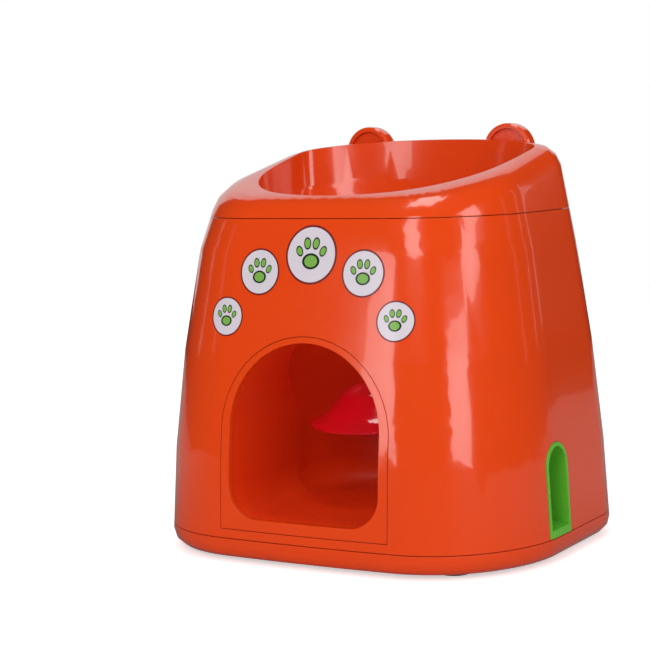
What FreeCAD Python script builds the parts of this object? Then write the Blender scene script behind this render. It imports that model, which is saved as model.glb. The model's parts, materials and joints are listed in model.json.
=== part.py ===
import FreeCAD, Part
import math
import os

os.makedirs("parts", exist_ok=True)
V = FreeCAD.Vector

# All lengths are millimetres and all angles degrees.
# Front is -Y, the viewer's right is +X, and Z is up from the floor.

# The ball that the toy is played with
BALL_R = 33.0

# Outer form: three reaches from the widest line, at the floor and at REF_H, each with a slight bulge
REF_H = 200.0
WIDTH_LOW = 93.5
WIDTH_HIGH = 65.8
WIDTH_BULGE = 5.7
FRONT_LOW = 110.2
FRONT_HIGH = 78.3
FRONT_BULGE = 7.3
BACK_LOW = 62.0
BACK_HIGH = 29.6
FRONT_SQUARENESS = 3.8
BACK_SQUARENESS = 2.0
WALL = 2.6
BASE_ROUND = 7.0
FOOT_PROUD = 1.2
LEVELS = (0.0, 45.0, 90.0, 135.0, REF_H)
ROUND_STEPS = 3
FAR = 300.0

# Heights of the two seams round the body, and the sloping rim
BASE_SEAM_Z = 11.0
TOP_SEAM_Z = 149.0
SEAM_GAP = 0.3
LIP_H = 4.0
LIP_T = 1.6
LIP_CLEAR = 0.25
RIM_Z = 170.7
RIM_SLOPE = 0.22
RIM_ROUND = 9.0
RIM_FLANGE = 10.2
RIM_ROOF = 6.5
BOWL_FRONT_SQUARENESS = 2.5
BOWL_BACK_SQUARENESS = 2.05
BOWL_WALL = 2.2
BOWL_STEEPEST = 60.0
BOWL_RINGS = 5

# Throat under the bowl and the ball chamber below it
THROAT_R = BALL_R + 4.5
THROAT_Y = -19.0
THROAT_TOP_Z = 122.0
THROAT_END_Z = 112.0
CHAMBER_WALL = 2.4
CHAMBER_RISE = 1.5
COLLAR_H = 7.0
COLLAR_CLEAR = 0.2
CHAMBER_FLOOR_ROUND = 12.0
SUPPORT_X = 20.0
SUPPORT_T = 2.4

# Arched mouth and the panel round it
MOUTH_HALF_W = 36.9
MOUTH_BOTTOM_Z = 20.1
MOUTH_TOP_Z = 96.8
MOUTH_CORNER_R = 14.0
PANEL_SIDE = 4.2
PANEL_TOP = 2.6
PANEL_BOTTOM = 5.0
PANEL_GAP = 0.25

# Treat outlet in the right-hand side
OUTLET_Y = -22.7
OUTLET_W = 21.0
OUTLET_BOTTOM_Z = BASE_SEAM_Z + 0.2
OUTLET_TOP_Z = 51.5
OUTLET_RIM = 1.8
OUTLET_BACK_X = 58.0
OUTLET_LIP_Z = 3.4
OUTLET_FLOOR_RISE = 5.5
OUTLET_PROUD = 0.4

# Floor of the base
BASE_FLOOR_T = 3.0
BASE_FLOOR_Z = FOOT_PROUD + BASE_FLOOR_T

# Trip lever, its shaft and its gear pair with the dosing drum
PIVOT_Y = 28.0
PIVOT_Z = 50.0
SHAFT_R = 2.5
RUN_CLEAR = 0.06
LEVER_HUB_R = 6.0
LEVER_HALF_W = 4.0
LEVER_THICK = 5.0
TAIL_REACH = 14.0
GEAR_MODULE = 1.0
SECTOR_TEETH = 53
PINION_TEETH = 11
SECTOR_TEETH_CUT = 7
GEAR_THICK = 4.0
GEAR_BACKLASH = 0.3
MESH_ANGLE = 55.0
PRESSURE_ANGLE = 20.0

# Striker cap that the ball lands on
CAP_Y = -17.0
CAP_BRIM_Z = 55.5
CAP_BRIM_R = 29.5
CAP_BRIM_T = 0.8
CAP_CROWN_R = 17.5
CAP_CROWN_H = 9.0
CAP_SHOULDER_R = 14.0
CAP_SHOULDER_H = 13.7
CAP_H = 18.4
CAP_SKIN = 1.8
CAP_TILT = 5.0
CAP_POST_R = 3.0
CAP_SOCKET_T = 1.6
CAP_SOCKET_Z = 1.0
CAP_FLARE = 0.8
CAP_DOME = 1.3

# Return spring under the lever's tail
SPRING_TURNS = 5
SPRING_R = 3.0
SPRING_WIRE = 0.9
SPRING_SEAT_CLEAR = 0.1
HOOK_H = 9.0

# Cheek plates that carry the shafts
CHEEK_T = 2.4
LEFT_CHEEK_X = -12.4
MID_CHEEK_X = 12.0
RIGHT_CHEEK_X = 42.0
CHEEK_BOSS_R = 7.0
GEAR_SIDE_CLEAR = 1.2
CLIP_R = 4.6
CLIP_T = 1.0
SHAFT_TAIL = 1.5

# Dosing drum
DRUM_R = 13.0
DRUM_SIDE_CLEAR = 1.2
DRUM_CLEAR = 0.5
CRADLE_T = 2.0
POCKET_W = 13.0
POCKET_DEPTH = 8.5
POCKET_WALL = 2.0

# Chute from the drum to the outlet
CHUTE_W = 18.0
CHUTE_WALL = 1.6
CHUTE_SIDE_H = 13.0
CHUTE_START_Z = 57.0
CHUTE_TURN_X = 54.0
CHUTE_TURN_Z = 42.0
CHUTE_END_X = 69.0
CHUTE_END_Z = 22.5

# Treat hopper behind the bowl
HOPPER_LEFT_X = -38.0
HOPPER_RIGHT_X = 43.0
HOPPER_FRONT_Y = 38.5
HOPPER_TOP_Z = 134.0
HOPPER_SHOULDER_Z = 112.0
HOPPER_WALL = 1.8
HOPPER_FIT = 0.4
HOPPER_THROAT_W = 17.0

# Filling door in the back
DOOR_HALF_W = 28.0
DOOR_BOTTOM_Z = 104.5
DOOR_TOP_Z = 132.0
DOOR_CORNER_R = 5.0
DOOR_GAP = 0.4
HINGE_R = 2.6
HINGE_PIN_R = 1.0
HINGE_DROP = 3.0
HINGE_KNUCKLE_X = 13.0
HINGE_KNUCKLE_W = 6.5
HINGE_LUG_W = 6.0
HINGE_SIDE_CLEAR = 0.4
GRIP_HALF_W = 9.0
GRIP_H = 3.0
GRIP_REACH = 3.2

# Ears behind the rim
EAR_X = 37.0
EAR_R = 12.0
EAR_TOP_Z = 188.0
EAR_FRONT_Y = 50.0
EAR_T = 7.0
EAR_DISH = 1.6
EAR_RIM = 2.4
EAR_BEVEL = 0.8

# Feet and screws
FOOT_R = 7.0
FOOT_SEAT = 1.8
FRONT_FOOT_X = 60.0
FRONT_FOOT_Y = -60.0
REAR_FOOT_X = 44.0
REAR_FOOT_Y = 58.0
SCREW_R = 1.5
SCREW_HEAD_R = 3.2
SCREW_HEAD_H = 1.8
SCREW_LENGTH = 12.0
POST_R = 4.2
POST_TOP_Z = 27.0
FRONT_POST_X = 72.0
FRONT_POST_Y = -43.0
REAR_POST_X = 66.0
REAR_POST_Y = 38.0
RIB_T = 2.0
TOP_POST_X = 67.0
TOP_POST_Y = 20.0
TOP_BOSS_R = 5.0
TOP_BOSS_H = 12.0
TOP_BOSS_SEAT = 6.0


def reach(z, low, high, bulge):
    t = z / REF_H
    return low + (high - low) * t + bulge * 4.0 * t * (1.0 - t)


def half_width(z):
    return reach(z, WIDTH_LOW, WIDTH_HIGH, WIDTH_BULGE)


def front_reach(z):
    return reach(z, FRONT_LOW, FRONT_HIGH, FRONT_BULGE)


def back_reach(z):
    return reach(z, BACK_LOW, BACK_HIGH, 0.0)


# The widest line lies where the foot of the body is centred on the origin
WAIST_Y = (front_reach(BASE_ROUND) - back_reach(BASE_ROUND)) / 2.0

DRUM_Y = PIVOT_Y + (SECTOR_TEETH + PINION_TEETH) * GEAR_MODULE / 2.0 * math.cos(math.radians(MESH_ANGLE))
DRUM_Z = PIVOT_Z + (SECTOR_TEETH + PINION_TEETH) * GEAR_MODULE / 2.0 * math.sin(math.radians(MESH_ANGLE))
DRUM_LEFT_X = MID_CHEEK_X + CHEEK_T + DRUM_SIDE_CLEAR
DRUM_RIGHT_X = RIGHT_CHEEK_X - DRUM_SIDE_CLEAR
GEAR_X = LEFT_CHEEK_X - GEAR_SIDE_CLEAR - GEAR_THICK


def box(x0, x1, y0, y1, z0, z1):
    return Part.makeBox(x1 - x0, y1 - y0, z1 - z0, V(x0, y0, z0))


def slab(z0, z1):
    return box(-FAR, FAR, -FAR, FAR, z0, z1)


def rod_x(radius, x0, x1, y, z):
    return Part.makeCylinder(radius, x1 - x0, V(x0, y, z), V(1, 0, 0))


def rod_z(radius, z0, z1, x, y):
    return Part.makeCylinder(radius, z1 - z0, V(x, y, z0), V(0, 0, 1))


def plate_yz(points, x0, x1):
    corners = [V(x0, y, z) for y, z in points]
    face = Part.Face(Part.makePolygon(corners + corners[:1]))
    return face.extrude(V(x1 - x0, 0, 0))


def save(node, shape):
    shape.exportStep("parts/" + node + ".step")
    print(node, len(shape.Solids), "solids", round(shape.Volume / 1000.0, 2), "cm3", shape.isValid())


def arc_pair(start, heading, end, arrival):
    # two arcs that leave start along heading, meet smoothly and reach end along arrival
    run = end - start
    turn = heading + arrival
    bend = 2.0 * (1.0 - heading.dot(arrival))
    reach_along = run.dot(turn)
    d = (math.sqrt(reach_along ** 2 + bend * run.dot(run)) - reach_along) / bend
    joint = (start + end + (heading - arrival) * d) * 0.5
    first = joint - start
    aim = heading + first * (1.0 / first.Length)
    second = end - joint
    leave = arrival + second * (1.0 / second.Length)
    early = start + aim * (first.Length / aim.dot(aim))
    late = end - leave * (second.Length / leave.dot(leave))
    return [(start, early, joint), (joint, late, end)]


def ring(centre_y, width, front, back, front_power, back_power, height_at):
    k = 0.5 ** (1.0 / front_power)
    m = 0.5 ** (1.0 / back_power)
    stops = [(0.0, -front, 1.0, 0.0), (width * k, -front * k, width, front), (width, 0.0, 0.0, 1.0),
             (width * m, back * m, -width, back), (0.0, back, -1.0, 0.0),
             (-width * m, back * m, -width, -back),
             (-width, 0.0, 0.0, -1.0), (-width * k, -front * k, width, -front)]
    arcs = []
    for here, there in zip(stops, stops[1:] + stops[:1]):
        heading = V(here[2], here[3], 0).normalize()
        arrival = V(there[2], there[3], 0).normalize()
        arcs += arc_pair(V(here[0], here[1], 0), heading, V(there[0], there[1], 0), arrival)
    # the two arcs that meet at the middle of the front are one, and so are those at the back
    half = len(arcs) // 2
    front_arc = (arcs[-1][0], arcs[0][0], arcs[0][2])
    back_arc = (arcs[half - 1][0], arcs[half][0], arcs[half][2])
    edges = []
    for arc in [front_arc] + arcs[1:half - 1] + [back_arc] + arcs[half + 1:-1]:
        lifted = [V(p.x, centre_y + p.y, height_at(centre_y + p.y)) for p in arc]
        edges.append(Part.Arc(*lifted).toShape())
    return Part.Wire(edges)


def level_ring(z, inset):
    return ring(WAIST_Y, half_width(z) - inset, front_reach(z) - inset, back_reach(z) - inset,
                FRONT_SQUARENESS, BACK_SQUARENESS, lambda y: z)


def body_form(inset):
    return Part.makeLoft([level_ring(z, inset) for z in LEVELS], True, True)


def rim_height(y):
    return RIM_Z + RIM_SLOPE * y


def under_rim(drop):
    points = [(-FAR, rim_height(-FAR) - drop), (FAR, rim_height(FAR) - drop), (FAR, -FAR), (-FAR, -FAR)]
    return plate_yz(points, -FAR, FAR)


def edges_on(shape, height_at):
    found = []
    for edge in shape.Edges:
        samples = edge.discretize(5)
        if max(abs(p.z - height_at(p.y)) for p in samples) < 0.001:
            found.append(edge)
    return found


def quarter_turns():
    return [math.radians(90.0 * k / ROUND_STEPS) for k in range(ROUND_STEPS + 1)]


def rim_meets(reach_at, side, drop):
    z = RIM_Z
    for step in range(6):
        z = rim_height(WAIST_Y + side * reach_at(z)) - drop
    return reach_at(z)


def rim_ring(drop, inset, front_power, back_power):
    width = half_width(rim_height(WAIST_Y) - drop) - inset
    front = rim_meets(front_reach, -1.0, drop) - inset
    back = rim_meets(back_reach, 1.0, drop) - inset
    return ring(WAIST_Y, width, front, back, front_power, back_power, lambda y: rim_height(y) - drop)


def rounded_body():
    rings = []
    for turn in quarter_turns():
        height = FOOT_PROUD + BASE_ROUND * (1.0 - math.cos(turn))
        rings.append(level_ring(height, BASE_ROUND * (1.0 - math.sin(turn))))
    rings += [level_ring(z, 0.0) for z in LEVELS[1:-1]]
    for turn in quarter_turns():
        rings.append(rim_ring(RIM_ROUND * (1.0 - math.sin(turn)), RIM_ROUND * (1.0 - math.cos(turn)),
                              FRONT_SQUARENESS, BACK_SQUARENESS))
    return Part.makeLoft(rings, True, True)


def bowl_ring(step, grow):
    # step 0 is the rim opening and step 1 the top of the throat
    steepest = math.radians(BOWL_STEEPEST)
    inward = (1.0 - math.cos(steepest * step)) / (1.0 - math.cos(steepest))
    down = math.sin(steepest * step) / math.sin(steepest)

    def between(rim, throat):
        return rim + (throat - rim) * inward

    width = between(half_width(rim_height(WAIST_Y)) - RIM_FLANGE, THROAT_R) + grow
    front = between(rim_meets(front_reach, -1.0, 0.0) - RIM_FLANGE, THROAT_R) + grow
    back = between(rim_meets(back_reach, 1.0, 0.0) - RIM_FLANGE, THROAT_R) + grow
    return ring(between(WAIST_Y, THROAT_Y), width, front, back, between(BOWL_FRONT_SQUARENESS, 2.0),
                between(BOWL_BACK_SQUARENESS, 2.0), lambda y: rim_height(y) + (THROAT_TOP_Z - rim_height(y)) * down)


def bowl_form(grow):
    rings = [rim_ring(-FAR / 10.0, RIM_FLANGE - grow, BOWL_FRONT_SQUARENESS, BOWL_BACK_SQUARENESS)]
    rings += [bowl_ring(k / (BOWL_RINGS - 1.0), grow) for k in range(BOWL_RINGS)]
    r = THROAT_R + grow
    rings.append(ring(THROAT_Y, r, r, r, 2.0, 2.0, lambda y: THROAT_END_Z))
    return Part.makeLoft(rings, True, True)


def wall_ring(z0, z1):
    return ROUNDED.common(slab(z0, z1)).cut(INNER)


def make_top_hopper():
    seat = WALL + LIP_CLEAR
    low = TOP_SEAM_Z - LIP_H
    high = TOP_SEAM_Z + SEAM_GAP
    block = ROUNDED.common(slab(high, REF_H)).fuse(body_form(seat).common(slab(low, high)))
    bowl = bowl_form(BOWL_WALL)
    hollow = bowl_form(0.0)
    space = body_form(seat + LIP_T).common(under_rim(RIM_ROOF)).common(slab(low - 1.0, REF_H))
    skirt = bowl.common(slab(THROAT_END_Z, low)).cut(hollow)
    ring = block.cut(hollow).cut(space.cut(bowl)).fuse(skirt)
    for x, y in top_post_places():
        post = rod_z(POST_R, TOP_SEAM_Z, FAR, x, y)
        post = post.common(body_form(seat + 0.5)).common(under_rim(RIM_ROOF / 2.0))
        ring = ring.fuse(post.cut(bowl))
        ring = ring.cut(rod_z(SCREW_R, TOP_SEAM_Z - 1.0, TOP_SEAM_Z + SCREW_LENGTH - 4.0, x, y))
    return ring


def arch_face(half_w, bottom, top, corner, x_plane=None, y_plane=None, centre=0.0):
    spring = top - half_w
    points = {
        "a": (-half_w, bottom + corner), "b": (-half_w, spring), "c": (0.0, top),
        "d": (half_w, spring), "e": (half_w, bottom + corner),
        "f": (half_w - corner, bottom), "g": (-half_w + corner, bottom),
    }

    def at(across, z):
        if x_plane is None:
            return V(centre + across, y_plane, z)
        return V(x_plane, centre + across, z)

    p = {name: at(*place) for name, place in points.items()}
    edges = [Part.LineSegment(p["a"], p["b"]), Part.Arc(p["b"], p["c"], p["d"]),
             Part.LineSegment(p["d"], p["e"])]
    if corner > 0.0:
        inset = corner * (1.0 - math.cos(math.radians(45.0)))
        right = at(half_w - inset, bottom + inset)
        left = at(-half_w + inset, bottom + inset)
        edges += [Part.Arc(p["e"], right, p["f"]), Part.LineSegment(p["f"], p["g"]),
                  Part.Arc(p["g"], left, p["a"])]
    else:
        edges += [Part.LineSegment(p["e"], p["a"])]
    return Part.Face(Part.Wire([e.toShape() for e in edges]))


def mouth_prism(grow, y0, y1):
    face = arch_face(MOUTH_HALF_W + grow, MOUTH_BOTTOM_Z - grow, MOUTH_TOP_Z + grow,
                     MOUTH_CORNER_R + grow, y_plane=y0)
    return face.extrude(V(0, y1 - y0, 0))


def panel_prism(gap):
    face = arch_face(MOUTH_HALF_W + PANEL_SIDE + gap, MOUTH_BOTTOM_Z - PANEL_BOTTOM - gap,
                     MOUTH_TOP_Z + PANEL_TOP + gap, 0.0, y_plane=-FAR)
    return face.extrude(V(0, FAR + THROAT_Y, 0))


def make_mouth_frame():
    panel = BODY_WALL.common(panel_prism(0.0))
    return panel.cut(mouth_prism(0.0, -FAR, THROAT_Y))


def chamber_void(grow):
    tunnel = arch_face(THROAT_R + grow, MOUTH_BOTTOM_Z - grow, MOUTH_TOP_Z + THROAT_R - MOUTH_HALF_W + grow,
                       MOUTH_CORNER_R + grow, y_plane=THROAT_Y - 90.0)
    tunnel.translate(V(0, 0, -CHAMBER_RISE / 2.0))
    tunnel = tunnel.extrude(V(0, 90.0, CHAMBER_RISE))
    floor = MOUTH_BOTTOM_Z + CHAMBER_RISE / 2.0 - grow
    well = rod_z(THROAT_R + grow, floor, THROAT_END_Z - 2.0, 0, THROAT_Y)
    if grow == 0.0:
        well = well.makeFillet(CHAMBER_FLOOR_ROUND, edges_on(well, lambda y: floor))
    return tunnel.fuse(well)


def make_ball_chamber():
    outside = chamber_void(CHAMBER_WALL)
    collar_r = THROAT_R + BOWL_WALL + COLLAR_CLEAR
    collar_low = THROAT_END_Z - 2.0
    collar = rod_z(collar_r + CHAMBER_WALL, collar_low - 6.0, collar_low + COLLAR_H + 2.0, 0, THROAT_Y)
    outside = outside.fuse(collar)
    for side in (-1.0, 1.0):
        x = side * SUPPORT_X - SUPPORT_T / 2.0
        outside = outside.fuse(box(x, x + SUPPORT_T, THROAT_Y - 45.0, THROAT_Y + 25.0,
                                   BASE_FLOOR_Z, MOUTH_BOTTOM_Z))
    inside = chamber_void(0.0).fuse(rod_z(THROAT_R, collar_low - 1.0, THROAT_END_Z, 0, THROAT_Y))
    inside = inside.fuse(rod_z(collar_r, THROAT_END_Z - 0.4, THROAT_END_Z + COLLAR_H + 5.0, 0, THROAT_Y))
    slot = box(-LEVER_HALF_W - 1.5, LEVER_HALF_W + 1.5, 0, PIVOT_Y, PIVOT_Z - 10.0, PIVOT_Z + 6.0)
    trimmed = outside.cut(inside).cut(slot)
    return trimmed.common(body_form(WALL + LIP_CLEAR))


def outlet_face(grow, x):
    return arch_face(OUTLET_W / 2.0 + grow, OUTLET_BOTTOM_Z - grow, OUTLET_TOP_Z + grow, 0.0,
                     x_plane=x, centre=OUTLET_Y)


def make_treat_outlet():
    sleeve = outlet_face(0.0, OUTLET_BACK_X).extrude(V(FAR, 0, 0)).common(body_form(-OUTLET_PROUD))
    inner = arch_face(OUTLET_W / 2.0 - OUTLET_RIM, OUTLET_BOTTOM_Z + OUTLET_LIP_Z, OUTLET_TOP_Z - OUTLET_RIM,
                      0.0, x_plane=OUTLET_BACK_X + OUTLET_RIM, centre=OUTLET_Y).extrude(V(FAR, 0, 0))
    low = OUTLET_BOTTOM_Z + OUTLET_LIP_Z
    end_x = half_width(low) - 2.0
    ramp = [(OUTLET_BACK_X, low), (end_x, low), (OUTLET_BACK_X, low + OUTLET_FLOOR_RISE)]
    half = OUTLET_W / 2.0 - OUTLET_RIM + 0.5
    corners = [V(x, OUTLET_Y - half, z) for x, z in ramp]
    ramp = Part.Face(Part.makePolygon(corners + corners[:1])).extrude(V(0, 2.0 * half, 0))
    window = box(OUTLET_BACK_X + OUTLET_RIM, CHUTE_END_X + CHUTE_W / 2.0 + 0.5, OUTLET_Y, OUTLET_Y + OUTLET_W,
                 CHUTE_END_Z - 2.0, OUTLET_TOP_Z - OUTLET_W / 2.0)
    return sleeve.cut(inner).fuse(ramp.common(sleeve)).cut(window)


def trough(start, end, grow, low, high):
    run = end - start
    length = math.hypot(run.x, run.y)
    half = CHUTE_W / 2.0 + grow
    ends = grow
    slope = run.z / length
    points = [(-half - ends + grow, -(half) * slope), (length + half, (length + half) * slope)]
    corners = [V(x, -half, z + low) for x, z in points] + [V(x, -half, z + high) for x, z in reversed(points)]
    block = Part.Face(Part.makePolygon(corners + corners[:1])).extrude(V(0, 2.0 * half, 0))
    block.rotate(V(0, 0, 0), V(0, 0, 1), math.degrees(math.atan2(run.y, run.x)))
    block.translate(start)
    return block


def make_treat_chute():
    start_x = MID_CHEEK_X + CHEEK_T + HOPPER_FIT + CHUTE_WALL + CHUTE_W / 2.0
    start = V(start_x, DRUM_Y + 1.5, CHUTE_START_Z)
    turn = V(CHUTE_TURN_X, DRUM_Y + 1.5, CHUTE_TURN_Z)
    end = V(CHUTE_END_X, OUTLET_Y + OUTLET_W / 2.0 + 2.0, CHUTE_END_Z)
    outside = trough(start, turn, CHUTE_WALL, -CHUTE_WALL, CHUTE_SIDE_H)
    outside = outside.fuse(trough(turn, end, CHUTE_WALL, -CHUTE_WALL, CHUTE_SIDE_H))
    inside = trough(start, turn, 0.0, 0.0, FAR)
    inside = inside.fuse(trough(turn, end, 0.0, 0.0, FAR))
    chute = outside.cut(inside).common(body_form(WALL + HOPPER_FIT))
    chute = chute.cut(box(0, FAR, -FAR, OUTLET_Y + OUTLET_W / 2.0, 0, FAR))
    cradle_r = DRUM_R + DRUM_CLEAR + CRADLE_T + 0.3
    return chute.cut(rod_x(cradle_r, 0, RIGHT_CHEEK_X + CHEEK_T + 0.3, DRUM_Y, DRUM_Z))


def hopper_block(grow, top):
    def rectangle(x0, x1, y0, y1, z):
        corners = [V(x0, y0, z), V(x1, y0, z), V(x1, y1, z), V(x0, y1, z)]
        return Part.makePolygon(corners + corners[:1])

    y0 = DRUM_Y - HOPPER_THROAT_W / 2.0 - grow
    y1 = DRUM_Y + HOPPER_THROAT_W / 2.0 + grow
    x0 = DRUM_LEFT_X - grow
    x1 = DRUM_RIGHT_X + grow
    low = Part.makeLoft([
        rectangle(x0, x1, y0, y1, DRUM_Z),
        rectangle(x0, x1, y0, y1, DRUM_Z + DRUM_R)], True, True)
    mid = Part.makeLoft([
        rectangle(x0, x1, y0, y1, DRUM_Z + DRUM_R),
        rectangle(HOPPER_LEFT_X - grow, HOPPER_RIGHT_X + grow, HOPPER_FRONT_Y - grow, 80, HOPPER_SHOULDER_Z)],
        True, True)
    high = box(HOPPER_LEFT_X - grow, HOPPER_RIGHT_X + grow, HOPPER_FRONT_Y - grow, 80, HOPPER_SHOULDER_Z, top)
    return low.fuse([mid, high])


def make_treat_hopper():
    fit = WALL + HOPPER_FIT
    outside = hopper_block(HOPPER_WALL, HOPPER_TOP_Z).common(body_form(fit))
    inside = hopper_block(0.0, HOPPER_TOP_Z + 5.0).common(body_form(fit + HOPPER_WALL))
    window = box(-DOOR_HALF_W, DOOR_HALF_W, DRUM_Y, FAR, DOOR_BOTTOM_Z, FAR)
    hopper = outside.cut(inside).cut(window)
    hopper = hopper.cut(rod_x(DRUM_R + DRUM_CLEAR, -FAR, FAR, DRUM_Y, DRUM_Z))
    below = slab(0.0, DRUM_Z + DRUM_R * 0.6)
    return hopper.cut(below)


def top_post_places():
    return [(-TOP_POST_X, TOP_POST_Y), (TOP_POST_X, TOP_POST_Y)]


def base_post_places():
    front = [(-FRONT_POST_X, FRONT_POST_Y), (FRONT_POST_X, FRONT_POST_Y)]
    return front + [(-REAR_POST_X, REAR_POST_Y), (REAR_POST_X, REAR_POST_Y)]


def foot_places():
    front = [(-FRONT_FOOT_X, FRONT_FOOT_Y), (FRONT_FOOT_X, FRONT_FOOT_Y)]
    return front + [(-REAR_FOOT_X, REAR_FOOT_Y), (REAR_FOOT_X, REAR_FOOT_Y)]


def frame_screw_places():
    return [(-18.0, 30.0), (-18.0, 52.0), (28.0, 30.0)]


def screw_up(x, y, head_z):
    head = rod_z(SCREW_HEAD_R, head_z, head_z + SCREW_HEAD_H, x, y)
    return head.fuse(rod_z(SCREW_R, head_z + SCREW_HEAD_H, head_z + SCREW_LENGTH, x, y))


def screw_hole(x, y, head_z):
    wide = rod_z(SCREW_HEAD_R + 0.3, head_z - 1.0, head_z + SCREW_HEAD_H, x, y)
    return wide.fuse(rod_z(SCREW_R, head_z, head_z + SCREW_LENGTH + 1.0, x, y))


def corner_post(x, y):
    post = rod_z(POST_R, BASE_FLOOR_Z, POST_TOP_Z, x, y)
    rib = box(0, 20.0, -RIB_T / 2.0, RIB_T / 2.0, BASE_SEAM_Z + LIP_H + 1.0, POST_TOP_Z)
    rib.rotate(V(0, 0, 0), V(0, 0, 1), math.degrees(math.atan2(y - WAIST_Y, x)))
    rib.translate(V(x, y, 0))
    rib = rib.common(body_form(WALL * 0.6))
    return post.fuse(rib)


def door_prism(gap):
    half = DOOR_HALF_W + gap
    low = DOOR_BOTTOM_Z - gap
    high = DOOR_TOP_Z + gap
    block = box(-half, half, WAIST_Y + 10.0, FAR, low, high)
    upright = [e for e in block.Edges if abs(e.Vertexes[0].Point.y - e.Vertexes[-1].Point.y) > 100.0]
    return block.makeFillet(DOOR_CORNER_R, upright)


def hinge_line():
    z = DOOR_BOTTOM_Z - HINGE_DROP
    return WAIST_Y + back_reach(z) + 0.8, z


def hinge_barrel(radius, x0, x1):
    y, z = hinge_line()
    return rod_x(radius, x0, x1, y, z)


def knuckle_spans():
    inner = HINGE_KNUCKLE_X
    outer = HINGE_KNUCKLE_X + HINGE_KNUCKLE_W
    return [(inner, outer), (-outer, -inner)]


def lug_spans():
    inner = HINGE_KNUCKLE_X + HINGE_KNUCKLE_W + HINGE_SIDE_CLEAR
    return [(inner, inner + HINGE_LUG_W), (-inner - HINGE_LUG_W, -inner)]


def make_main_shell():
    shell = BODY_WALL.cut(panel_prism(PANEL_GAP))
    shell = shell.cut(outlet_face(0.1, OUTLET_BACK_X).extrude(V(FAR, 0, 0)))
    shell = shell.cut(door_prism(DOOR_GAP))
    y, z = hinge_line()
    for x0, x1 in lug_spans():
        lug = hinge_barrel(HINGE_R, x0, x1).fuse(box(x0, x1, y - HINGE_R - 2.0, y, z - HINGE_R - 1.0, z))
        shell = shell.fuse(lug)
    for x0, x1 in knuckle_spans():
        room = HINGE_R + 0.5
        shell = shell.cut(box(x0 - HINGE_SIDE_CLEAR, x1 + HINGE_SIDE_CLEAR, y - room - 2.0, FAR,
                              z - room, DOOR_BOTTOM_Z))
    shell = shell.cut(hinge_barrel(HINGE_PIN_R, -40.0, 40.0))
    for x, y in base_post_places():
        shell = shell.fuse(corner_post(x, y)).cut(screw_hole(x, y, FOOT_PROUD))
    foot = TOP_SEAM_Z - TOP_BOSS_H
    for x, y in top_post_places():
        boss = rod_z(TOP_BOSS_R, foot, TOP_SEAM_Z - SEAM_GAP, x, y)
        x0, x1 = sorted([x, x + math.copysign(30.0, x)])
        web = box(x0, x1, y - RIB_T / 2.0, y + RIB_T / 2.0, foot, TOP_SEAM_Z - LIP_H - 0.5)
        boss = boss.common(body_form(WALL + LIP_CLEAR + LIP_T + 0.3))
        shell = shell.fuse([boss, web.common(body_form(WALL * 0.6))])
        shell = shell.cut(rod_z(SCREW_HEAD_R + 0.3, foot - 1.0, TOP_SEAM_Z - TOP_BOSS_SEAT, x, y))
        shell = shell.cut(rod_z(SCREW_R, foot, TOP_SEAM_Z, x, y))
    return shell


def make_rear_door():
    door = BODY_WALL.common(door_prism(0.0))
    y, z = hinge_line()
    for x0, x1 in knuckle_spans():
        arm = hinge_barrel(HINGE_R, x0, x1)
        arm = arm.fuse(box(x0, x1, y - HINGE_R, y, z, DOOR_BOTTOM_Z + 3.0))
        door = door.fuse(arm)
    grip_y = WAIST_Y + back_reach(DOOR_TOP_Z)
    door = door.fuse(box(-GRIP_HALF_W, GRIP_HALF_W, grip_y - 1.5, grip_y + GRIP_REACH,
                         DOOR_TOP_Z - GRIP_H - 2.0, DOOR_TOP_Z - 2.0))
    return door.cut(hinge_barrel(HINGE_PIN_R + RUN_CLEAR, -40.0, 40.0))


def make_base_tray():
    seat = WALL + LIP_CLEAR
    low = ROUNDED.common(slab(FOOT_PROUD, BASE_SEAM_Z - SEAM_GAP))
    low = low.fuse(body_form(seat).common(slab(BASE_SEAM_Z - SEAM_GAP, BASE_SEAM_Z + LIP_H)))
    tray = low.cut(body_form(seat + LIP_T).common(slab(BASE_FLOOR_Z, REF_H)))
    tray = tray.cut(outlet_face(0.4, OUTLET_BACK_X - 0.4).extrude(V(FAR, 0, 0)))
    for x, y in foot_places():
        tray = tray.cut(rod_z(FOOT_R, 0, FOOT_PROUD + FOOT_SEAT, x, y))
    for x, y in base_post_places() + frame_screw_places():
        tray = tray.cut(screw_hole(x, y, FOOT_PROUD))
    return tray


def top_screws():
    head_z = TOP_SEAM_Z - TOP_BOSS_SEAT - SCREW_HEAD_H
    return Part.makeCompound([screw_up(x, y, head_z) for x, y in top_post_places()])


def make_cap():
    socket_r = CAP_POST_R + CAP_SOCKET_T
    under = CAP_SHOULDER_H - CAP_SKIN
    flare_r = (CAP_CROWN_R + CAP_BRIM_R) / 2.0 - CAP_FLARE
    flare_h = (CAP_CROWN_H + CAP_BRIM_T) / 2.0 - CAP_FLARE
    profile = [(0.0, CAP_H), (CAP_SHOULDER_R * 0.55, CAP_H - CAP_DOME), (CAP_SHOULDER_R, CAP_SHOULDER_H),
               (CAP_CROWN_R, CAP_CROWN_H), (flare_r, flare_h), (CAP_BRIM_R, CAP_BRIM_T), (CAP_BRIM_R, 0.0),
               (CAP_CROWN_R - CAP_SKIN / 2.0, CAP_CROWN_H - CAP_SKIN), (CAP_SHOULDER_R - CAP_SKIN, under),
               (socket_r, under), (socket_r, CAP_SOCKET_Z), (CAP_POST_R, CAP_SOCKET_Z), (CAP_POST_R, under),
               (0.0, under)]
    corners = [V(r, 0, z) for r, z in profile]
    face = Part.Face(Part.makePolygon(corners + corners[:1]))
    return face.revolve(V(0, 0, 0), V(0, 0, 1), 360.0)


def seat_on_lever(shape):
    shape.rotate(V(0, 0, 0), V(1, 0, 0), CAP_TILT)
    shape.translate(V(0, CAP_Y, CAP_BRIM_Z))
    return shape


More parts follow.
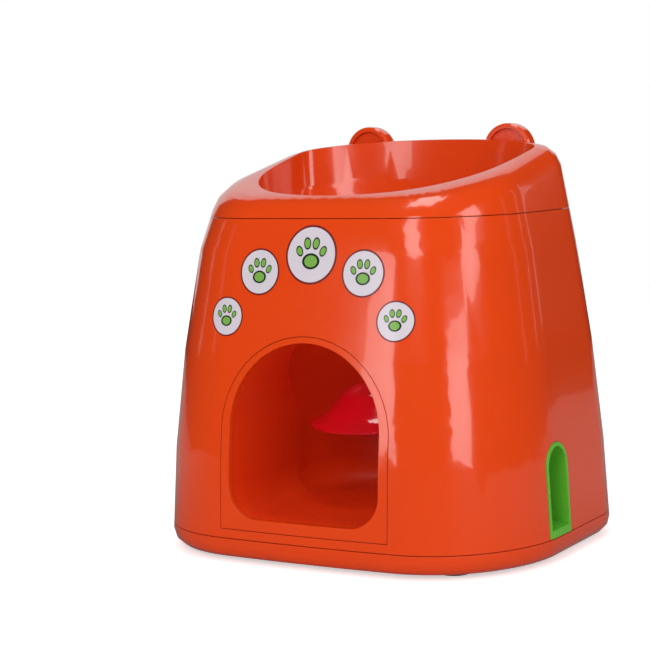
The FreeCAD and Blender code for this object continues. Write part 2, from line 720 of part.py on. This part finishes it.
def make_trip_lever():
    half = LEVER_THICK / 2.0
    hub = rod_x(LEVER_HUB_R, -LEVER_HALF_W, LEVER_HALF_W, PIVOT_Y, PIVOT_Z)
    arm = box(-LEVER_HALF_W, LEVER_HALF_W, CAP_Y - 4.0, PIVOT_Y, PIVOT_Z - half, PIVOT_Z + half - 0.4)
    tail = box(-LEVER_HALF_W / 2.0, LEVER_HALF_W / 2.0, PIVOT_Y, PIVOT_Y + TAIL_REACH + SPRING_R + 1.0,
               PIVOT_Z - half, PIVOT_Z + half)
    post = seat_on_lever(rod_z(CAP_POST_R, PIVOT_Z - CAP_BRIM_Z, CAP_SHOULDER_H - CAP_SKIN, 0, 0))
    lever = hub.fuse([arm, tail, post])
    lever = lever.cut(rod_x(SHAFT_R, -20, 20, PIVOT_Y, PIVOT_Z))
    return lever.cut(rod_x(1.2, -20, 20, PIVOT_Y + TAIL_REACH, PIVOT_Z))


def flank_points(teeth, outside, root, centre_angle):
    pitch_r = teeth * GEAR_MODULE / 2.0
    base_r = pitch_r * math.cos(math.radians(PRESSURE_ANGLE))
    involute = math.tan(math.radians(PRESSURE_ANGLE)) - math.radians(PRESSURE_ANGLE)
    half_tooth = math.pi / (2.0 * teeth) - GEAR_BACKLASH / (4.0 * pitch_r)
    start = max(base_r, root)
    radii = [root] + [start + (outside - start) * k / 3.0 for k in range(4)]
    rising = []
    for r in radii:
        turn = 0.0
        if r > base_r:
            slant = math.acos(base_r / r)
            turn = math.tan(slant) - slant
        rising.append((r, half_tooth + involute - turn))
    left = [(r, centre_angle - half) for r, half in rising]
    right = [(r, centre_angle + half) for r, half in reversed(rising)]
    return left + right


def gear_plate(teeth, addendum, centre_y, centre_z, first_angle, count, x0, x1):
    pitch_r = teeth * GEAR_MODULE / 2.0
    outside = pitch_r + addendum * GEAR_MODULE
    root = pitch_r - 1.25 * GEAR_MODULE
    polar = []
    for k in range(count):
        polar += flank_points(teeth, outside, root, first_angle + 2.0 * math.pi * k / teeth)
    points = [(centre_y + r * math.cos(a), centre_z + r * math.sin(a)) for r, a in polar]
    if count < teeth:
        points.append((centre_y, centre_z))
    return plate_yz(points, x0, x1)


def make_sector_gear():
    pitch = 2.0 * math.pi / SECTOR_TEETH
    first = math.radians(MESH_ANGLE) - (SECTOR_TEETH_CUT - 2) * pitch
    far_x = GEAR_X + GEAR_THICK
    plate = gear_plate(SECTOR_TEETH, 0.8, PIVOT_Y, PIVOT_Z, first, SECTOR_TEETH_CUT, GEAR_X, far_x)
    plate = plate.fuse(rod_x(LEVER_HUB_R, GEAR_X, GEAR_X + GEAR_THICK, PIVOT_Y, PIVOT_Z))
    return plate.cut(rod_x(SHAFT_R, -FAR, FAR, PIVOT_Y, PIVOT_Z))


def make_drum_pinion():
    first = math.radians(MESH_ANGLE + 180.0) + math.pi / PINION_TEETH
    far_x = GEAR_X + GEAR_THICK
    plate = gear_plate(PINION_TEETH, 1.0, DRUM_Y, DRUM_Z, first, PINION_TEETH, GEAR_X - 0.5, far_x)
    return plate.cut(rod_x(SHAFT_R, -FAR, FAR, DRUM_Y, DRUM_Z))


def clip(x, y, z):
    return rod_x(CLIP_R, x, x + CLIP_T, y, z).cut(rod_x(SHAFT_R, -FAR, FAR, y, z))


def lever_shaft_ends():
    return GEAR_X - CLIP_T - SHAFT_TAIL, MID_CHEEK_X + CHEEK_T + 0.5


def drum_shaft_ends():
    return GEAR_X - CLIP_T - SHAFT_TAIL - 0.5, RIGHT_CHEEK_X + CHEEK_T + CLIP_T + SHAFT_TAIL + 0.4


def make_dosing_drum():
    drum = rod_x(DRUM_R, DRUM_LEFT_X, DRUM_RIGHT_X, DRUM_Y, DRUM_Z)
    pocket = box(DRUM_LEFT_X + POCKET_WALL, DRUM_RIGHT_X - POCKET_WALL, DRUM_Y - POCKET_W / 2.0,
                 DRUM_Y + POCKET_W / 2.0, DRUM_Z + DRUM_R - POCKET_DEPTH, DRUM_Z + DRUM_R + 5.0)
    return drum.cut(pocket).cut(rod_x(SHAFT_R, -FAR, FAR, DRUM_Y, DRUM_Z))


def cheek(x, points, holes):
    plate = plate_yz(points, x, x + CHEEK_T)
    for y, z in holes:
        plate = plate.fuse(rod_x(CHEEK_BOSS_R, x, x + CHEEK_T, y, z))
    for y, z in holes:
        plate = plate.cut(rod_x(SHAFT_R + RUN_CLEAR, -FAR, FAR, y, z))
    return plate


def make_mechanism_frame():
    pivot = (PIVOT_Y, PIVOT_Z)
    drum = (DRUM_Y, DRUM_Z)
    foot_z = BASE_FLOOR_Z
    front = PIVOT_Y - 5.0
    tall = [(front, foot_z), (DRUM_Y + 12.0, foot_z), (DRUM_Y + 6.0, DRUM_Z), (DRUM_Y - 6.0, DRUM_Z + 3.0),
            (front, PIVOT_Z + 4.0)]
    left = cheek(LEFT_CHEEK_X, tall, [pivot, drum])
    middle = cheek(MID_CHEEK_X, tall, [pivot, drum])
    leg = [(front, foot_z), (front + 10.0, foot_z), (front + 10.0, DRUM_Z - 12.0), (DRUM_Y, DRUM_Z - 7.0),
           (DRUM_Y - 6.0, DRUM_Z + 3.0), (front, DRUM_Z - 12.0)]
    right = cheek(RIGHT_CHEEK_X, leg, [drum])
    floor = box(LEFT_CHEEK_X - 12.0, RIGHT_CHEEK_X + CHEEK_T, front, front + 10.0, foot_z, foot_z + 3.0)
    rear = box(LEFT_CHEEK_X - 12.0, MID_CHEEK_X + CHEEK_T, front, DRUM_Y + 10.0, foot_z, foot_z + 3.0)
    cradle_x0 = MID_CHEEK_X + CHEEK_T
    ring = rod_x(DRUM_R + DRUM_CLEAR + CRADLE_T, cradle_x0, RIGHT_CHEEK_X, DRUM_Y, DRUM_Z)
    ring = ring.cut(rod_x(DRUM_R + DRUM_CLEAR, cradle_x0, RIGHT_CHEEK_X, DRUM_Y, DRUM_Z))
    front_half = box(cradle_x0, RIGHT_CHEEK_X, -FAR, DRUM_Y + 1.0, 0, DRUM_Z + DRUM_R * 0.55)
    frame = left.fuse([middle, right, floor, rear, ring.common(front_half)])
    for x, y in frame_screw_places():
        frame = frame.fuse(rod_z(POST_R, foot_z, foot_z + SCREW_LENGTH - 2.0, x, y))
        frame = frame.cut(rod_z(SCREW_R, 0, FOOT_PROUD + SCREW_LENGTH + 0.5, x, y))
    hook_y = PIVOT_Y + TAIL_REACH
    hook = box(-1.0, 1.0, hook_y - 3.0, hook_y + 3.5, foot_z + 3.0, foot_z + HOOK_H)
    hook = hook.cut(rod_x(1.2, -5, 5, PIVOT_Y + TAIL_REACH, foot_z + 6.5))
    return frame.fuse(hook)


def spring_span():
    margin = SPRING_WIRE / 2.0 + SPRING_SEAT_CLEAR
    return BASE_FLOOR_Z + HOOK_H + margin, PIVOT_Z - LEVER_THICK / 2.0 - margin


def make_return_spring():
    low, high = spring_span()
    quarters = 4 * SPRING_TURNS
    rise = (high - low) / quarters

    def at(quarter):
        turn = math.radians(90.0 * quarter)
        return V(-SPRING_R * math.sin(turn), SPRING_R * math.cos(turn), rise * quarter)

    path = Part.Wire([Part.Arc(at(q), at(q + 0.5), at(q + 1)).toShape() for q in range(quarters)])
    r = SPRING_WIRE / 2.0
    corners = [at(0) + V(0, dy, dz) for dy, dz in [(-r, -r), (r, -r), (r, r), (-r, r)]]
    coil = path.makePipeShell([Part.makePolygon(corners + corners[:1])], True, False)
    coil.translate(V(0, PIVOT_Y + TAIL_REACH, low))
    return coil


def make_ear(side):
    x = side * EAR_X
    z = EAR_TOP_Z - EAR_R
    disc = Part.makeCylinder(EAR_R, EAR_T, V(x, EAR_FRONT_Y, z), V(0, 1, 0))
    dish = Part.makeCylinder(EAR_R - EAR_RIM, EAR_DISH, V(x, EAR_FRONT_Y, z), V(0, 1, 0))
    ear = disc.cut(dish)
    edges = [e for e in ear.Edges if abs(e.Length - 2.0 * math.pi * EAR_R) < 0.01]
    ear = ear.makeChamfer(EAR_BEVEL, edges)
    return ear.cut(ROUNDED)


INNER = body_form(WALL)
ROUNDED = rounded_body()
BODY_WALL = wall_ring(BASE_SEAM_Z, TOP_SEAM_Z)

save("main_shell", make_main_shell())
save("top_hopper", make_top_hopper())
save("base_tray", make_base_tray())
save("mouth_frame", make_mouth_frame())
save("ball_chamber", make_ball_chamber())
save("treat_outlet", make_treat_outlet())
save("treat_chute", make_treat_chute())
save("treat_hopper", make_treat_hopper())
save("rear_door", make_rear_door())
save("door_hinge_pin", hinge_barrel(HINGE_PIN_R, lug_spans()[1][0], lug_spans()[0][1]))
save("mechanism_frame", make_mechanism_frame())
save("striker_cap", seat_on_lever(make_cap()))
save("trip_lever", make_trip_lever())
save("lever_shaft", rod_x(SHAFT_R, *lever_shaft_ends(), PIVOT_Y, PIVOT_Z))
save("sector_gear", make_sector_gear())
save("drum_pinion", make_drum_pinion())
save("dosing_drum", make_dosing_drum())
save("drum_shaft", rod_x(SHAFT_R, *drum_shaft_ends(), DRUM_Y, DRUM_Z))
save("lever_shaft_clip", clip(GEAR_X - CLIP_T, PIVOT_Y, PIVOT_Z))
save("drum_shaft_clips", Part.makeCompound([clip(GEAR_X - CLIP_T - 0.5, DRUM_Y, DRUM_Z),
                                            clip(RIGHT_CHEEK_X + CHEEK_T + 0.4, DRUM_Y, DRUM_Z)]))
save("return_spring", make_return_spring())
save("ear_left", make_ear(-1.0))
save("ear_right", make_ear(1.0))
feet = [rod_z(FOOT_R, 0, FOOT_PROUD + FOOT_SEAT, x, y) for x, y in foot_places()]
save("rubber_feet", Part.makeCompound(feet))
save("base_screws", Part.makeCompound([screw_up(x, y, FOOT_PROUD) for x, y in base_post_places()]))
save("frame_screws", Part.makeCompound([screw_up(x, y, FOOT_PROUD) for x, y in frame_screw_places()]))
save("top_screws", top_screws())
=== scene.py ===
"""Looks for the ball-drop treat toy: finishes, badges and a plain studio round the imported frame."""
import json
import math

import bpy
import bmesh
from mathutils import Matrix, Vector
from mathutils.bvhtree import BVHTree


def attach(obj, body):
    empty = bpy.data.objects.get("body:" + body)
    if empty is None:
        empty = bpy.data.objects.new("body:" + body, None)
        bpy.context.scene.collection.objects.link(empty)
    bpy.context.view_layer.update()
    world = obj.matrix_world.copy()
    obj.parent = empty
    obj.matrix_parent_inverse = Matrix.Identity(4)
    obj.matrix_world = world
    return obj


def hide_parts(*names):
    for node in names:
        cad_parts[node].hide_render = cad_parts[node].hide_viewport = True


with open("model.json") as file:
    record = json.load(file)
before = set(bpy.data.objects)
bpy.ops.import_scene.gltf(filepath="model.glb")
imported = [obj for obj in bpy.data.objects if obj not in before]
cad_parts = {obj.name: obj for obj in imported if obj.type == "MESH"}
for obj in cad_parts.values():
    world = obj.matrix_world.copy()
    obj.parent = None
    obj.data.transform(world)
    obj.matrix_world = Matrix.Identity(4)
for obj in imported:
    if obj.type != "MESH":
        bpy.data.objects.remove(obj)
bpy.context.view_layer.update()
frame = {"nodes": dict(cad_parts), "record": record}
MM = 0.001

# Camera, worked out from the photograph's silhouette, seams and mouth
CAMERA_PLACE = (397.0 * MM, -738.9 * MM, 182.8 * MM)
CAMERA_YAW = 30.31
CAMERA_PITCH = 5.80
CAMERA_ROLL = -1.49
FOCAL_PIXELS = 1830.0
PHOTO_PIXELS = 650.0
SENSOR = 36.0
CLIP_END = 20.0


def make_camera():
    yaw = math.radians(CAMERA_YAW)
    pitch = math.radians(CAMERA_PITCH)
    roll = math.radians(CAMERA_ROLL)
    back = Vector((math.sin(yaw) * math.cos(pitch), -math.cos(yaw) * math.cos(pitch), math.sin(pitch)))
    level = Vector((math.cos(yaw), math.sin(yaw), 0.0))
    up = back.cross(level)
    right = math.cos(roll) * level + math.sin(roll) * up
    top = -math.sin(roll) * level + math.cos(roll) * up
    data = bpy.data.cameras.new("camera")
    data.sensor_width = SENSOR
    data.lens = FOCAL_PIXELS / PHOTO_PIXELS * SENSOR
    data.clip_end = CLIP_END
    camera = bpy.data.objects.new("camera", data)
    turn = Matrix((right, top, back)).transposed().to_4x4()
    camera.matrix_world = Matrix.Translation(Vector(CAMERA_PLACE)) @ turn
    bpy.context.scene.collection.objects.link(camera)
    bpy.context.scene.camera = camera


def new_material(name):
    material = bpy.data.materials.new(name)
    material.use_nodes = True
    nodes = material.node_tree.nodes
    shader = nodes["Principled BSDF"]
    return material, nodes, material.node_tree.links, shader


def object_noise(nodes, links, scale, detail=4.0, roughness=0.5):
    place = nodes.new("ShaderNodeTexCoord")
    noise = nodes.new("ShaderNodeTexNoise")
    noise.inputs["Scale"].default_value = scale
    noise.inputs["Detail"].default_value = detail
    noise.inputs["Roughness"].default_value = roughness
    links.new(place.outputs["Object"], noise.inputs["Vector"])
    return noise


def ramp_between(nodes, links, source, low, high, first, last):
    ramp = nodes.new("ShaderNodeMapRange")
    ramp.inputs["From Min"].default_value = low
    ramp.inputs["From Max"].default_value = high
    ramp.inputs["To Min"].default_value = first
    ramp.inputs["To Max"].default_value = last
    links.new(source, ramp.inputs["Value"])
    return ramp.outputs["Result"]


# Noise scales are in repeats per metre; a noise factor between QUIET and LOUD spans a roughness range
QUIET = 0.3
LOUD = 0.7
EDGE_ROUND = 0.45 * MM
EDGE_SAMPLES = 4
FLOW_SCALE = 28.0
FLOW_SHIFT = 0.06
GLOSS_SCALE = 420.0
RIPPLE_SCALE = 18.0
RIPPLE_HEIGHT = 4.0 * MM
PLASTIC_IOR = 1.53
COAT_ROUGHNESS = 0.03
TURNING_SCALE = 900.0
RUBBER_SCALE = 1500.0
FINE_HEIGHT = 0.2 * MM


def uneven_roughness(nodes, links, shader, noise, smoothest, roughest):
    spread = ramp_between(nodes, links, noise.outputs["Fac"], QUIET, LOUD, smoothest, roughest)
    links.new(spread, shader.inputs["Roughness"])


def bumped(nodes, links, shader, noise, strength, height):
    bump = nodes.new("ShaderNodeBump")
    bump.inputs["Strength"].default_value = strength
    bump.inputs["Distance"].default_value = height
    links.new(noise.outputs["Fac"], bump.inputs["Height"])
    links.new(bump.outputs["Normal"], shader.inputs["Normal"])
    return bump


def moulded_plastic(name, colour, roughness, wave=0.02, coat=0.0, wear=0.5):
    """Injection-moulded plastic: faint flow marks, uneven gloss, a slight surface wave and softened edges."""
    material, nodes, links, shader = new_material(name)
    flow = object_noise(nodes, links, FLOW_SCALE, 3.0)
    shift = FLOW_SHIFT * wear
    mix = nodes.new("ShaderNodeMix")
    mix.data_type = "RGBA"
    mix.inputs[6].default_value = (*[c * (1.0 - shift) for c in colour], 1.0)
    mix.inputs[7].default_value = (*[min(1.0, c * (1.0 + shift)) for c in colour], 1.0)
    links.new(flow.outputs["Fac"], mix.inputs[0])
    links.new(mix.outputs[2], shader.inputs["Base Color"])
    gloss = object_noise(nodes, links, GLOSS_SCALE, 5.0, 0.6)
    uneven_roughness(nodes, links, shader, gloss, roughness * 0.8, roughness * 1.25)
    ripple = object_noise(nodes, links, RIPPLE_SCALE, 1.5)
    bump = bumped(nodes, links, shader, ripple, wave, RIPPLE_HEIGHT)
    edge = nodes.new("ShaderNodeBevel")
    edge.samples = EDGE_SAMPLES
    edge.inputs["Radius"].default_value = EDGE_ROUND
    links.new(edge.outputs["Normal"], bump.inputs["Normal"])
    shader.inputs["IOR"].default_value = PLASTIC_IOR
    shader.inputs["Coat Weight"].default_value = coat
    shader.inputs["Coat Roughness"].default_value = COAT_ROUGHNESS
    return material


def brushed_metal(name, colour):
    """Zinc-plated steel with fine turning marks."""
    material, nodes, links, shader = new_material(name)
    turning = object_noise(nodes, links, TURNING_SCALE, 6.0, 0.7)
    uneven_roughness(nodes, links, shader, turning, 0.22, 0.40)
    bumped(nodes, links, shader, turning, 0.15, FINE_HEIGHT)
    shader.inputs["Base Color"].default_value = (*colour, 1.0)
    shader.inputs["Metallic"].default_value = 1.0
    return material


def soft_rubber(name, colour):
    """Matt rubber with a fine grain."""
    material, nodes, links, shader = new_material(name)
    grain = object_noise(nodes, links, RUBBER_SCALE)
    uneven_roughness(nodes, links, shader, grain, 0.6, 0.8)
    bumped(nodes, links, shader, grain, 0.3, FINE_HEIGHT)
    shader.inputs["Base Color"].default_value = (*colour, 1.0)
    return material


ORANGE = (0.78, 0.058, 0.004)
CAVE_ORANGE = (0.82, 0.045, 0.003)
GREEN = (0.12, 0.50, 0.030)
RED = (0.68, 0.003, 0.012)

MATERIALS = {
    "orange_gloss": moulded_plastic("orange_gloss", ORANGE, 0.16, 0.03, 0.6),
    "orange_satin": moulded_plastic("orange_satin", CAVE_ORANGE, 0.38, 0.02),
    "green_gloss": moulded_plastic("green_gloss", GREEN, 0.30, 0.02),
    "red_gloss": moulded_plastic("red_gloss", RED, 0.08, 0.10, 1.0),
    "inner_white": moulded_plastic("inner_white", (0.75, 0.74, 0.70), 0.45),
    "inner_grey": moulded_plastic("inner_grey", (0.16, 0.165, 0.17), 0.5),
    "gear_white": moulded_plastic("gear_white", (0.80, 0.79, 0.74), 0.35),
    "steel": brushed_metal("steel", (0.62, 0.61, 0.58)),
    "foot_rubber": soft_rubber("foot_rubber", (0.02, 0.02, 0.02)),
}


SLOTS = {part["node"]: part["material_slot"] for part in frame["record"]["subparts"]}


def dress_frame():
    for node, obj in frame["nodes"].items():
        material = MATERIALS[SLOTS[node]]
        if not obj.material_slots:
            obj.data.materials.append(material)
        for place in obj.material_slots:
            place.material = material


# Nodes whose moulded curves are a few straight bands in the solids, as (node, body)
MOULDED = [
    ("main_shell", "housing"),
    ("top_hopper", "housing"),
    ("base_tray", "housing"),
    ("mouth_frame", "housing"),
    ("striker_cap", "lever"),
]
CORNER_ANGLE = math.radians(38.0)
WELD = 0.003 * MM


def points_and_faces(node):
    mesh = frame["nodes"][node].data
    return [vertex.co.copy() for vertex in mesh.vertices], [list(face.vertices) for face in mesh.polygons]


def moulded_cover(node, body):
    """A node's own surface again, shaded as one smooth moulding: only its real corners stay sharp."""
    data = bpy.data.meshes.new(node + "_moulded")
    points, faces = points_and_faces(node)
    data.from_pydata(points, [], faces)
    mesh = bmesh.new()
    mesh.from_mesh(data)
    bmesh.ops.remove_doubles(mesh, verts=mesh.verts, dist=WELD)
    bmesh.ops.dissolve_degenerate(mesh, edges=mesh.edges, dist=WELD)
    for face in mesh.faces:
        face.smooth = True
    for edge in mesh.edges:
        edge.smooth = edge.is_manifold and edge.calc_face_angle(math.pi) < CORNER_ANGLE
    mesh.to_mesh(data)
    mesh.free()
    data.materials.append(frame["nodes"][node].material_slots[0].material)
    cover = bpy.data.objects.new(node + "_moulded", data)
    bpy.context.scene.collection.objects.link(cover)
    even = cover.modifiers.new("even_shading", "WEIGHTED_NORMAL")
    even.keep_sharp = True
    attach(cover, body)
    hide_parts(node)


def add_moulded_covers():
    for node, body in MOULDED:
        moulded_cover(node, body)


# Paw-print badges in an arc above the mouth, as (across, height, radius) in millimetres
BADGES = [
    (-41.0, 107.0, 8.5),
    (-25.0, 126.5, 10.0),
    (0.5, 134.0, 12.5),
    (26.0, 126.5, 10.0),
    (42.0, 107.0, 8.5),
]
# Pads of one paw, as (across, up, half width, half height, lean) in shares of the badge's radius and degrees
PADS = [
    (0.0, -0.22, 0.34, 0.27, 0.0),
    (-0.46, 0.12, 0.13, 0.19, 25.0),
    (-0.17, 0.38, 0.14, 0.21, 8.0),
    (0.17, 0.38, 0.14, 0.21, -8.0),
    (0.46, 0.12, 0.13, 0.19, -25.0),
]
BADGE_BORDER = 0.93
PAD_BORDER = 0.74
BADGE_LIFT = 0.12 * MM
PAD_LIFT = 0.2 * MM
TURNS = 64
RINGS = 6
# The prints are cast onto the shell from this far in front, straight back
CAST_FROM = -0.5
CAST_WAY = Vector((0.0, 1.0, 0.0))
INKS = ["white", "edge", "green", "dark"]
BADGE_INKS = (0, 1)
PAD_INKS = (2, 3)

BADGE_MATERIALS = {
    "white": moulded_plastic("badge_white", (0.66, 0.60, 0.66), 0.22),
    "green": moulded_plastic("badge_green", (0.19, 0.42, 0.07), 0.22, wear=2.0),
    "dark": moulded_plastic("badge_dark", (0.010, 0.022, 0.012), 0.2),
    "edge": moulded_plastic("badge_edge", (0.16, 0.012, 0.012), 0.25),
}


def printed_patch(mesh, tree, place, radii, lean, lift, border, inks):
    """An oval print that follows the shell: rings of points cast onto the front from ahead of it."""
    turn = math.radians(lean)

    def cast(share, angle):
        u = radii[0] * share * math.cos(angle)
        v = radii[1] * share * math.sin(angle)
        x = place[0] + u * math.cos(turn) - v * math.sin(turn)
        z = place[1] + u * math.sin(turn) + v * math.cos(turn)
        hit, normal = tree.ray_cast(Vector((x, CAST_FROM, z)), CAST_WAY)[:2]
        if normal.y > 0.0:
            normal = -normal
        return mesh.verts.new(hit + normal * lift)

    shares = [border * (k + 1) / RINGS for k in range(RINGS)] + [1.0]
    angles = [2.0 * math.pi * i / TURNS for i in range(TURNS)]
    loops = [[cast(share, angle) for angle in angles] for share in shares]
    centre = cast(0.0, 0.0)
    for i in range(TURNS):
        j = (i + 1) % TURNS
        mesh.faces.new((centre, loops[0][i], loops[0][j])).material_index = inks[0]
        for k in range(RINGS):
            face = mesh.faces.new((loops[k][i], loops[k + 1][i], loops[k + 1][j], loops[k][j]))
            face.material_index = inks[1] if k == RINGS - 1 else inks[0]


def add_badge(number, tree, across, height, radius):
    size = radius * MM
    place = (across * MM, height * MM)
    mesh = bmesh.new()
    printed_patch(mesh, tree, place, (size, size), 0.0, BADGE_LIFT, BADGE_BORDER, BADGE_INKS)
    for right, up, half_width, half_height, lean in PADS:
        centre = (place[0] + right * size, place[1] + up * size)
        radii = (half_width * size, half_height * size)
        printed_patch(mesh, tree, centre, radii, lean, PAD_LIFT, PAD_BORDER, PAD_INKS)
    for face in mesh.faces:
        face.smooth = True
    mesh.normal_update()
    data = bpy.data.meshes.new("badge_%d" % number)
    mesh.to_mesh(data)
    mesh.free()
    for ink in INKS:
        data.materials.append(BADGE_MATERIALS[ink])
    badge = bpy.data.objects.new("badge_%d" % number, data)
    bpy.context.scene.collection.objects.link(badge)
    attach(badge, "housing")


def add_badges():
    tree = BVHTree.FromPolygons(*points_and_faces("main_shell"))
    for number, (across, height, radius) in enumerate(BADGES, start=1):
        add_badge(number, tree, across, height, radius)


TABLE_RADIUS = 1.15
TABLE_SIDES = 96
TABLE_WHITE = 0.9
TABLE_GLOW = 0.55
# How bright the glossy toy mirrors the table, to the sides and behind, and straight ahead
TABLE_MIRRORED = 0.26
TABLE_MIRRORED_AHEAD = 0.05
MIRROR_FADE = (-0.15, 0.35)


def math_node(nodes, operation):
    node = nodes.new("ShaderNodeMath")
    node.operation = operation
    return node


def table_in_gloss(nodes, links):
    """Light that the table gives to glossy rays, weaker in front of the toy than beside it."""
    place = nodes.new("ShaderNodeTexCoord")
    apart = nodes.new("ShaderNodeSeparateXYZ")
    links.new(place.outputs["Object"], apart.inputs[0])
    side = math_node(nodes, "ABSOLUTE")
    links.new(apart.outputs["X"], side.inputs[0])
    away = math_node(nodes, "ADD")
    links.new(side.outputs[0], away.inputs[0])
    links.new(apart.outputs["Y"], away.inputs[1])
    span = (*MIRROR_FADE, TABLE_MIRRORED_AHEAD, TABLE_MIRRORED)
    dim = nodes.new("ShaderNodeEmission")
    links.new(ramp_between(nodes, links, away.outputs[0], *span), dim.inputs["Strength"])
    return dim


def table_material():
    """White to the camera, plain pale to the toy's diffuse light and dim where its gloss mirrors it."""
    material, nodes, links, shader = new_material("table_white")
    grain = object_noise(nodes, links, 60.0, 3.0)
    spread = ramp_between(nodes, links, grain.outputs["Fac"], 0.0, 1.0, 0.6, 0.7)
    links.new(spread, shader.inputs["Roughness"])
    shader.inputs["Base Color"].default_value = (TABLE_WHITE, TABLE_WHITE, TABLE_WHITE, 1.0)
    shader.inputs["Emission Color"].default_value = (1.0, 1.0, 1.0, 1.0)
    path = nodes.new("ShaderNodeLightPath")
    glow = math_node(nodes, "MULTIPLY")
    glow.inputs[1].default_value = TABLE_GLOW
    links.new(path.outputs["Is Camera Ray"], glow.inputs[0])
    links.new(glow.outputs[0], shader.inputs["Emission Strength"])
    choice = nodes.new("ShaderNodeMixShader")
    links.new(path.outputs["Is Glossy Ray"], choice.inputs[0])
    links.new(shader.outputs[0], choice.inputs[1])
    links.new(table_in_gloss(nodes, links).outputs[0], choice.inputs[2])
    links.new(choice.outputs[0], nodes["Material Output"].inputs["Surface"])
    return material


def add_table():
    """A round white table top under the toy."""
    mesh = bmesh.new()
    bmesh.ops.create_circle(mesh, cap_ends=True, segments=TABLE_SIDES, radius=TABLE_RADIUS)
    data = bpy.data.meshes.new("table")
    mesh.to_mesh(data)
    mesh.free()
    table = bpy.data.objects.new("table", data)
    bpy.context.scene.collection.objects.link(table)
    data.materials.append(table_material())


# Soft boxes, as (name, azimuth from the front, lowest elevation, highest elevation, angular width,
# distance, radiance), in degrees and metres
SOFT_BOXES = [
    ("front_strip_low", -18.0, 0.0, 18.5, 10.0, 1.4, 3.3),
    ("front_strip_high", 12.0, 20.5, 56.0, 17.0, 1.4, 3.5),
    ("right_window_low", 55.0, 1.0, 16.0, 22.0, 1.5, 3.3),
    ("right_window_middle", 75.0, 15.5, 31.0, 18.0, 1.4, 3.3),
    ("right_window_high", 88.0, 31.0, 50.0, 18.0, 1.3, 3.3),
    ("rear_right_strip", 149.5, 2.0, 30.0, 1.6, 1.3, 0.8),
    ("rear_thin_strip", 139.0, 3.0, 36.0, 1.6, 1.3, 0.6),
    ("right_thin_strip", 122.0, 2.0, 36.0, 2.0, 1.3, 0.35),
    ("left_thin_strip", -84.0, 2.0, 24.0, 3.0, 1.3, 0.45),
    ("far_left_strip", -60.0, 5.0, 24.0, 3.0, 1.3, 0.4),
    ("backdrop", -150.0, 0.0, 46.0, 60.0, 1.3, 0.62),
]
OVERHEAD_PLACE = (0.0, -0.1, 1.6)
OVERHEAD_SIZE = 1.3
OVERHEAD_RADIANCE = 0.8
# A small bright panel straight above the bowl, mirrored by the striker through the throat
PANEL_PLACE = (0.0, -0.03, 1.1)
PANEL_SIZE = 0.30
PANEL_RADIANCE = 4.0
FILL_PLACE = (0.15, -1.5, 0.75)
FILL_SIZE = 0.9
FILL_RADIANCE = 2.0
AMBIENT = 0.34
MIRRORED_AMBIENT = 0.02
AIM = (0.0, -0.02, 0.08)


def rectangle_light(name, place, target, width, height, radiance):
    data = bpy.data.lights.new(name, "AREA")
    data.shape = "RECTANGLE"
    data.size = width
    data.size_y = height
    data.energy = radiance * math.pi * width * height
    light = bpy.data.objects.new(name, data)
    light.location = place
    light.rotation_euler = (Vector(target) - Vector(place)).to_track_quat("-Z", "Y").to_euler()
    light.visible_camera = False
    bpy.context.scene.collection.objects.link(light)
    return light


def square_light(name, place, size, radiance):
    return rectangle_light(name, place, AIM, size, size, radiance)


def soft_box(name, azimuth, low, high, angular_width, distance, radiance):
    turn = math.radians(azimuth)
    bottom = AIM[2] + distance * math.tan(math.radians(low))
    top = AIM[2] + distance * math.tan(math.radians(high))
    middle = (bottom + top) / 2.0
    place = (AIM[0] + distance * math.sin(turn), AIM[1] - distance * math.cos(turn), middle)
    width = 2.0 * distance * math.tan(math.radians(angular_width / 2.0))
    rectangle_light(name, place, (AIM[0], AIM[1], middle), width, top - bottom, radiance)


def add_world():
    """Even light all round: white behind the toy, soft on its colours and dim in its gloss."""
    world = bpy.data.worlds.new("studio")
    world.use_nodes = True
    nodes = world.node_tree.nodes
    links = world.node_tree.links
    background = nodes["Background"]
    background.inputs["Color"].default_value = (1.0, 1.0, 1.0, 1.0)
    path = nodes.new("ShaderNodeLightPath")
    seen = nodes.new("ShaderNodeMix")
    seen.inputs[2].default_value = AMBIENT
    seen.inputs[3].default_value = 1.0
    links.new(path.outputs["Is Camera Ray"], seen.inputs[0])
    mirrored = nodes.new("ShaderNodeMix")
    mirrored.inputs[3].default_value = MIRRORED_AMBIENT
    links.new(path.outputs["Is Glossy Ray"], mirrored.inputs[0])
    links.new(seen.outputs[0], mirrored.inputs[2])
    links.new(mirrored.outputs[0], background.inputs["Strength"])
    bpy.context.scene.world = world


def add_studio():
    add_world()
    for box in SOFT_BOXES:
        soft_box(*box)
    overhead = square_light("overhead", OVERHEAD_PLACE, OVERHEAD_SIZE, OVERHEAD_RADIANCE)
    overhead.visible_glossy = False
    square_light("panel", PANEL_PLACE, PANEL_SIZE, PANEL_RADIANCE)
    fill = square_light("front_fill", FILL_PLACE, FILL_SIZE, FILL_RADIANCE)
    fill.visible_glossy = False
    bpy.context.scene.view_settings.view_transform = "Standard"


make_camera()
dress_frame()
add_moulded_covers()
add_badges()
add_table()
add_studio()
